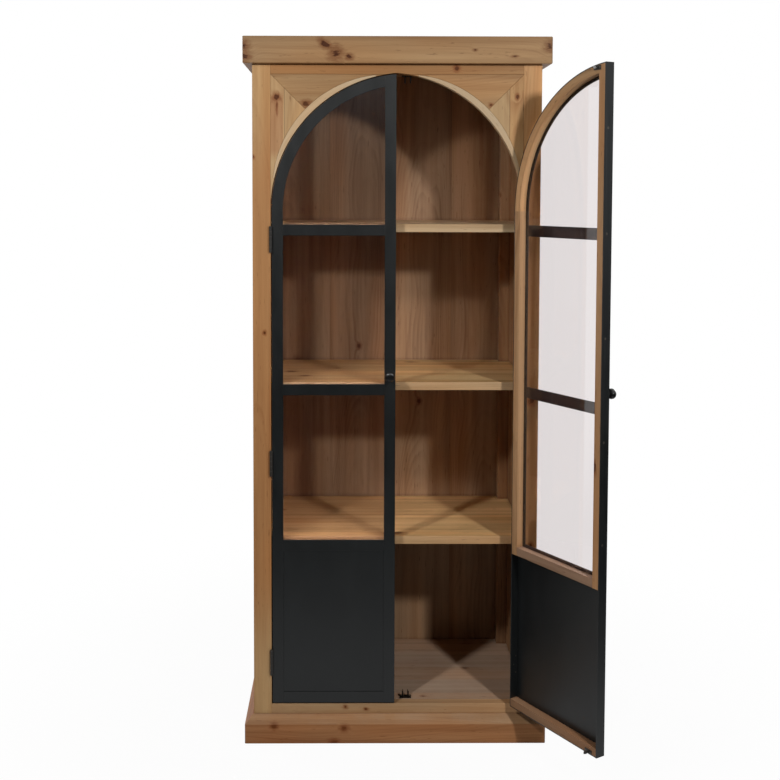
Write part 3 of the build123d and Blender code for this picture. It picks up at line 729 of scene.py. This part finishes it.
def metalMaterial(name, onOpenDoor=False, backFrom=None):
    # backFrom is how deep a bar's hidden side starts, which is tinted brown as painted light bounced from the
    # wood
    look = metals[name]
    ending = ("Open" if onOpenDoor else "") + ("Bars" if backFrom else "")
    material, tree, shader = newMaterial(name + ending)
    place = closedPlace(tree, onOpenDoor)
    paint = useGroup(
        tree, paintedSteel, vector=place, paint=linear(*look["paint"]), drift=linear(*look["drift"]),
        gloss=look["gloss"], peel=look["peel"],
    )
    worn = useGroup(
        tree, edgeWear, vector=place, radius=metalLook["wearRadius"], amount=look["wear"],
        grain=metalLook["wearGrain"],
    )["Mask"]
    dust = useGroup(tree, settledDust, vector=place, amount=look["dust"])["Mask"]
    colour = paint["Colour"]
    # painted light: the bars' hidden back is tinted brown, standing in for warm light bounced onto it from
    # the wood
    if backFrom:
        soft = metalLook["paintedBounceEdge"]
        behind = ease(tree, splitXYZ(tree, place)[1], backFrom - soft, backFrom + soft)
        colour = blendColour(tree, behind, colour, linear(*look["paintedBounce"]))
    colour = blendColour(tree, worn, colour, linear(*look["worn"]))
    colour = blendColour(tree, dust, colour, linear(*metalLook["dustColour"]))
    rough = scaled(tree, dust, metalLook["dustRoughness"], paint["Roughness"])
    shader.inputs["Specular IOR Level"].default_value = look["shine"]
    finishSurface(tree, shader, colour, rough, paint["Height"], look["bump"], metalLook["bumpDepth"])
    return material


screwSteel = {"bright": (118, 114, 108), "stained": (64, 58, 52), "metallic": 0.85, "bump": 0.15}


def screwMaterial():
    material, tree, shader = newMaterial("dulledScrewSteel")
    place = closedPlace(tree, False)
    turned = noise(tree, place, (900, 900, 900), 3.0, 0.6)["Fac"]
    stain = noise(tree, place, (160, 160, 160), 3.0)["Fac"]
    colour = blendColour(tree, stain, linear(*screwSteel["bright"]), linear(*screwSteel["stained"]))
    shader.inputs["Metallic"].default_value = screwSteel["metallic"]
    rough = scaled(tree, stain, 0.3, 0.28)
    finishSurface(tree, shader, colour, rough, turned, screwSteel["bump"], metalLook["bumpDepth"])
    return material


glassLook = {"colour": (232, 226, 226), "shadow": (236, 232, 232), "ior": 1.45, "smears": 0.035}


def glassMaterial():
    # clear glass with faint smears, which lets the lamps' light through
    material, tree, shader = newMaterial("clearGlass")
    smear = noise(tree, closedPlace(tree, False), (3, 3, 14), 4.0, 0.6)["Fac"]
    shader.inputs["Base Color"].default_value = linear(*glassLook["colour"])
    shader.inputs["Transmission Weight"].default_value = 1.0
    shader.inputs["IOR"].default_value = glassLook["ior"]
    feed(tree, shader.inputs["Roughness"], ease(tree, smear, 0.5, 0.8, 0.0, glassLook["smears"]))
    clear = addNode(tree, "ShaderNodeBsdfTransparent", {"Color": linear(*glassLook["shadow"])})
    path = addNode(tree, "ShaderNodeLightPath")
    mixShaders(tree, path.outputs["Is Shadow Ray"], shader, clear)
    return material


# Corners of the frame's triangles nearer than the weld are one; edges sharper than the angle are eased
edgeLook = {"weld": 0.00001, "segments": 2, "angle": 35}


def dress(node, material):
    mesh = parts[node].data
    mesh.materials.clear()
    mesh.materials.append(material)


def roundEdges(node, width):
    # the frame's meshes are loose triangles, so they are welded before the bevel
    piece = parts[node]
    weld = piece.modifiers.new("weld", "WELD")
    weld.merge_threshold = edgeLook["weld"]
    bevel = piece.modifiers.new("easedEdges", "BEVEL")
    bevel.width = width
    bevel.segments = edgeLook["segments"]
    bevel.limit_method = "ANGLE"
    bevel.angle_limit = math.radians(edgeLook["angle"])
    bevel.miter_outer = "MITER_SHARP"
    bevel.loop_slide = False


def mirrorBox(box):
    return Vector((-box[1].x, box[0].y, box[0].z)), Vector((-box[0].x, box[1].y, box[1].z))


def dressWood():
    for seed, (name, board) in enumerate(boards.items()):
        dress(name, pineMaterial(name, board, seed * 3 + 1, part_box(name)))
    for seed, (name, board) in enumerate(doorBoards.items()):
        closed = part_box("left_door_" + name)
        dress("left_door_" + name, pineMaterial("left_" + name, board, 101 + seed * 3, closed))
        shut = mirrorBox(closed)
        dress("right_door_" + name, pineMaterial("right_" + name, board, 151 + seed * 3, shut, True))


def dressDoors():
    steelNodes = ("arch_bar", "bottom_bar", "hinge_stile", "meeting_stile", "lower_panel")
    barLow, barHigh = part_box("left_door_glazing_bars")
    glass = glassMaterial()
    for side, isOpen in (("left_door_", False), ("right_door_", True)):
        steel, hardware = metalMaterial("blackSteel", isOpen), metalMaterial("darkHardware", isOpen)
        for name in steelNodes:
            dress(side + name, steel)
        dress(side + "glazing_bars", metalMaterial("blackSteel", isOpen, (barLow.y + barHigh.y) / 2))
        dress(side + "knob", metalMaterial("blackKnob", isOpen))
        dress(side + "hinge_leaves", hardware)
        dress(side + "strikes", hardware)
        dress(side + "glass", glass)
    dress("cabinet_hinge_leaves", bpy.data.materials["darkHardware"])
    dress("hinge_pins", bpy.data.materials["darkHardware"])
    dress("catch_clips", metalMaterial("catchSteel"))


dressWood()
dressDoors()
for name in boards:
    roundEdges(name, woodLook["bevel"])
for side in ("left_door_", "right_door_"):
    for name in doorBoards:
        roundEdges(side + name, woodLook["bevel"])
    for name in ("arch_bar", "bottom_bar", "hinge_stile", "meeting_stile", "glazing_bars"):
        roundEdges(side + name, metalLook["edge"])
print("materials on the frame's own pieces")


# Countersunk screws with a cross recess, set where the frame has them
screwLook = {
    "headWidth": 0.007,
    "headHeight": 0.002,
    "shankWidth": 0.0035,
    "recessLength": 0.0042,
    "recessWidth": 0.0011,
    "recessDepth": 0.0013,
    "seed": 7,
}


def screwPlaces(node):
    # each screw's head, aim and length, from the frame's mesh
    shape = bmesh.new()
    shape.from_mesh(parts[node].data)
    bmesh.ops.remove_doubles(shape, verts=shape.verts, dist=edgeLook["weld"])
    found, left = [], set(shape.verts)
    while left:
        island, edge = set(), [next(iter(left))]
        while edge:
            vert = edge.pop()
            if vert not in island:
                island.add(vert)
                edge.extend(link.other_vert(vert) for link in vert.link_edges)
        left -= island
        points = np.array([vert.co for vert in island])
        middle = points.mean(0)
        aim = np.linalg.svd(points - middle)[2][0]
        depth = (points - middle) @ aim
        width = np.linalg.norm(points - middle - np.outer(depth, aim), axis=1)
        if depth[width.argmax()] > 0:
            aim, depth = -aim, -depth
        found.append((middle + aim * depth.min(), aim, depth.max() - depth.min()))
    shape.free()
    found.sort(key=lambda screw: tuple(np.round(screw[0], 5)))
    return found


def makeScrewTree(material):
    # its inputs are the screws' places and the values of screwLook
    tree = bpy.data.node_groups.new("crossHeadScrews", "GeometryNodeTree")
    ports = {}
    for key, kind in {"geometry": "Geometry", **dict.fromkeys(screwLook, "Float"), "seed": "Int"}.items():
        ports[key] = tree.interface.new_socket(
            socketLabel(key), in_out="INPUT", socket_type="NodeSocket" + kind,
        )
    tree.interface.new_socket("Geometry", in_out="OUTPUT", socket_type="NodeSocketGeometry")
    given = tree.nodes.new("NodeGroupInput").outputs
    result = tree.nodes.new("NodeGroupOutput").inputs
    headRadius, shankRadius = times(tree, given["Head Width"], 0.5), times(tree, given["Shank Width"], 0.5)
    # the head widens towards the origin and the cross is cut out of it
    carved = addNode(tree, "GeometryNodeMeshCone", {
        "Vertices": 24, "Radius Bottom": headRadius, "Radius Top": shankRadius, "Depth": given["Head Height"],
    }).outputs["Mesh"]
    for wide, long in (("Recess Length", "Recess Width"), ("Recess Width", "Recess Length")):
        size = joinXYZ(tree, given[wide], given[long], times(tree, given["Recess Depth"], 2.0))
        cut = addNode(tree, "GeometryNodeMeshCube", {"Size": size})
        carved = addNode(tree, "GeometryNodeMeshBoolean", {
            "Mesh 1": carved, "Mesh 2": cut.outputs["Mesh"],
        }, operation="DIFFERENCE").outputs["Mesh"]
    aim, reach = (
        addNode(tree, "GeometryNodeInputNamedAttribute", {"Name": name}, data_type=kind).outputs["Attribute"]
        for name, kind in (("aim", "FLOAT_VECTOR"), ("reach", "FLOAT"))
    )
    turned = addNode(tree, "FunctionNodeAlignRotationToVector", {"Vector": aim}, axis="Z")
    spin = addNode(tree, "FunctionNodeRandomValue", {
        2: 0.0, 3: math.pi / 2, "Seed": given["Seed"],
    }, data_type="FLOAT")
    twist = addNode(tree, "FunctionNodeAxisAngleToRotation", {"Axis": (0, 0, 1), "Angle": spin.outputs[1]})
    rotation = addNode(tree, "FunctionNodeRotateRotation", {
        "Rotation": turned.outputs[0], "Rotate By": twist.outputs[0],
    }, rotation_space="LOCAL")
    heads = addNode(tree, "GeometryNodeInstanceOnPoints", {
        "Points": given["Geometry"], "Instance": carved, "Rotation": rotation.outputs[0],
    })
    # a shank is one metre of rod, stretched to the length that the head leaves
    shank = addNode(tree, "GeometryNodeMeshCylinder", {"Vertices": 16, "Radius": shankRadius, "Depth": 1.0})
    lifted = addNode(tree, "GeometryNodeTransform", {
        "Geometry": shank.outputs["Mesh"], "Translation": (0, 0, 0.5),
    })
    length = minus(tree, reach, given["Head Height"])
    shanks = addNode(tree, "GeometryNodeInstanceOnPoints", {
        "Points": given["Geometry"], "Instance": lifted.outputs[0], "Rotation": turned.outputs[0],
        "Scale": joinXYZ(tree, 1.0, 1.0, length),
    })
    push = addNode(tree, "GeometryNodeTranslateInstances", {
        "Instances": shanks.outputs[0], "Translation": joinXYZ(tree, 0.0, 0.0, given["Head Height"]),
    })
    both = tree.nodes.new("GeometryNodeJoinGeometry")
    tree.links.new(push.outputs[0], both.inputs[0])
    tree.links.new(heads.outputs[0], both.inputs[0])
    real = addNode(tree, "GeometryNodeRealizeInstances", {"Geometry": both.outputs[0]})
    dressed = addNode(tree, "GeometryNodeSetMaterial", {"Geometry": real.outputs[0], "Material": material})
    tree.links.new(dressed.outputs[0], result[0])
    return tree, ports


def makeScrews(material):
    tree, ports = makeScrewTree(material)
    for body in ("cabinet", "left_door", "right_door"):
        node = body + "_screws"
        heads, aims, reaches = zip(*screwPlaces(node))
        points = bpy.data.meshes.new(body + "ScrewPoints")
        points.from_pydata(heads, [], [])
        aim = points.attributes.new("aim", "FLOAT_VECTOR", "POINT")
        aim.data.foreach_set("vector", np.array(aims, np.float32).ravel())
        reach = points.attributes.new("reach", "FLOAT", "POINT")
        reach.data.foreach_set("value", np.array(reaches, np.float32))
        piece = bpy.data.objects.new(node + "_cross_head", points)
        bpy.context.scene.collection.objects.link(piece)
        modifier = piece.modifiers.new("screws", "NODES")
        modifier.node_group = tree
        for key, value in screwLook.items():
            modifier[ports[key].identifier] = value
        evaluated = piece.evaluated_get(bpy.context.evaluated_depsgraph_get())
        mesh = bpy.data.meshes.new_from_object(evaluated)
        piece.modifiers.remove(modifier)
        piece.data = mesh
        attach(piece, body)
        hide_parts(node)
        print("screws:", body, len(heads))


makeScrews(screwMaterial())


# Floor, lamps, world and camera; a lamp's spread is in degrees and its power in watts
lamps = {
    "leftLamp": {
        "place": (-1.2, -1.79, 2.28), "aim": (0, -0.2, 0.6), "size": 0.17, "spread": 145, "power": 13.5,
    },
    "rightLamp": {
        "place": (1.285, -2.51, 2.33), "aim": (0, -0.2, 0.6), "size": 0.2, "spread": 145, "power": 23.5,
    },
    "backLeftLamp": {
        "place": (-2.6, 2.0, 2.3), "aim": (0, 0, 1.0), "size": 1.4, "spread": 180, "power": 60.0,
    },
    "backRightLamp": {
        "place": (2.8, 2.0, 2.0), "aim": (0, 0, 1.0), "size": 1.4, "spread": 180, "power": 55.0,
    },
}
# pairs are where a change starts and ends, in metres on the floor or as a direction in the world
studio = {
    "lampColour": (1.0, 0.99, 0.975),
    "floorSize": 24,
    "floorColour": (206, 204, 202),
    "floorSpeck": (194, 192, 190),
    "floorRoughness": 0.85,
    "floorShine": 0.1,
    "floorWhite": 0.965,
    "whiteEdge": (0.6, 1.9),
    "poolEdge": (0.9, 2.4),
    "behindEdge": (-0.2, 0.8),
    "overheadEdge": (0.0, 0.22),
    "backdropEdge": (-0.5, 0.3),
    "frontGloss": 0.03,
    "upperGloss": 0.9,
    "nearFloorGloss": 0.55,
    "backGloss": 1.0,
}


def seenRays(tree):
    # rays that show the background: from the camera, or straight through glass, or off gloss; a ray
    # that met a rough surface first isn't one, nor one that was thrown back inside the glass
    path = addNode(tree, "ShaderNodeLightPath").outputs
    straight = calc(tree, "LESS_THAN", path["Diffuse Depth"], 0.5)
    bounced = calc(tree, "GREATER_THAN", path["Glossy Depth"], 0.5)
    glossy = times(tree, times(tree, path["Is Glossy Ray"], straight), bounced)
    through = times(tree, path["Is Transmission Ray"], straight)
    through = times(tree, through, minus(tree, 1.0, bounced))
    return calc(tree, "MAXIMUM", path["Is Camera Ray"], through), glossy


def makeFloor():
    bpy.ops.mesh.primitive_plane_add(size=studio["floorSize"], location=(0, 0, cadBox[0].z))
    floor = bpy.context.object
    floor.name = "studio_floor"
    material, tree, shader = newMaterial("paleFloor")
    place = addNode(tree, "ShaderNodeTexCoord").outputs["Object"]
    speck = noise(tree, place, (3, 3, 3), 3.0)["Fac"]
    pale = linear(*studio["floorColour"])
    feed(tree, shader.inputs["Base Color"], blendColour(tree, speck, pale, linear(*studio["floorSpeck"])))
    shader.inputs["Roughness"].default_value = studio["floorRoughness"]
    shader.inputs["Specular IOR Level"].default_value = studio["floorShine"]
    seen, glossy = seenRays(tree)
    away = vectorCalc(tree, "LENGTH", place)
    share = times(tree, seen, ease(tree, away, *studio["whiteEdge"], studio["floorWhite"], 1.0))
    # gloss shows the lit pool about the cabinet, the dark room in front and the white behind
    pool = ease(tree, away, *studio["poolEdge"], studio["nearFloorGloss"], studio["frontGloss"])
    behind = ease(tree, splitXYZ(tree, place)[1], *studio["behindEdge"], 0.0, studio["backGloss"])
    mirrored = calc(tree, "MAXIMUM", pool, behind)
    dimmed = times(tree, glossy, minus(tree, 1.0, mirrored))
    strength = minus(tree, 1.0, dimmed)
    white = addNode(tree, "ShaderNodeEmission", {"Color": (1, 1, 1, 1), "Strength": strength})
    mixShaders(tree, calc(tree, "MAXIMUM", share, glossy), shader, white)
    floor.data.materials.append(material)


def makeLamp(name, look):
    lamp = bpy.data.lights.new(name, "AREA")
    lamp.shape = "DISK"
    lamp.size = look["size"]
    lamp.spread = math.radians(look["spread"])
    lamp.energy = look["power"]
    lamp.color = studio["lampColour"]
    holder = bpy.data.objects.new(name, lamp)
    bpy.context.scene.collection.objects.link(holder)
    holder.location = look["place"]
    holder.rotation_euler = (Vector(look["aim"]) - Vector(look["place"])).to_track_quat("-Z", "Y").to_euler()
    # a lamp isn't seen itself, nor through the glass
    holder.visible_camera = False
    holder.visible_transmission = False


def makeWorld():
    world = bpy.data.worlds.new("studioWorld")
    world.use_nodes = True
    bpy.context.scene.world = world
    tree = world.node_tree
    tree.nodes.clear()
    # white where it is seen; gloss shows the bright backdrop and ceiling and the darker room in front
    seen, glossy = seenRays(tree)
    toward, upward = splitXYZ(tree, addNode(tree, "ShaderNodeTexCoord").outputs["Generated"])[1:]
    overhead = ease(tree, upward, *studio["overheadEdge"], studio["frontGloss"], studio["upperGloss"])
    backdrop = ease(tree, toward, *studio["backdropEdge"], overhead, studio["backGloss"])
    strength = calc(tree, "MAXIMUM", seen, times(tree, glossy, backdrop))
    sky = addNode(tree, "ShaderNodeBackground", {"Color": (1, 1, 1, 1), "Strength": strength})
    addNode(tree, "ShaderNodeOutputWorld", {"Surface": sky.outputs[0]})


# The photograph's camera: where it stands, how it is turned, and the point its axis meets
cameraLook = {
    "place": (-0.13873, -3.53659, 1.65525),
    "yaw": 0.008,
    "pitch": -0.0564,
    "roll": 0.0019,
    "focalPixels": 1123.1,
    "axisPixel": (358.51, 253.36),
    "imagePixels": 780,
    "sensor": 36.0,
}


def makeCamera():
    look = cameraLook
    yaw, pitch, roll = look["yaw"], look["pitch"], look["roll"]
    ahead = Vector((math.sin(yaw) * math.cos(pitch), math.cos(yaw) * math.cos(pitch), math.sin(pitch)))
    level = Vector((math.cos(yaw), -math.sin(yaw), 0))
    upright = level.cross(ahead)
    right = math.cos(roll) * level + math.sin(roll) * upright
    up = math.cos(roll) * upright - math.sin(roll) * level
    camera = bpy.data.cameras.new("photoCamera")
    camera.sensor_width = look["sensor"]
    camera.lens = look["focalPixels"] * look["sensor"] / look["imagePixels"]
    half = look["imagePixels"] / 2
    camera.shift_x = (half - look["axisPixel"][0]) / look["imagePixels"]
    camera.shift_y = -(half - look["axisPixel"][1]) / look["imagePixels"]
    holder = bpy.data.objects.new("photoCamera", camera)
    bpy.context.scene.collection.objects.link(holder)
    turn = Matrix((right, up, -ahead)).transposed()
    holder.matrix_world = Matrix.Translation(look["place"]) @ turn.to_4x4()
    bpy.context.scene.camera = holder


makeFloor()
for lampName, lampLook in lamps.items():
    makeLamp(lampName, lampLook)
makeWorld()
makeCamera()
bpy.context.scene.view_settings.view_transform = "Standard"
print("studio and camera in place")

bpy.context.view_layer.update()
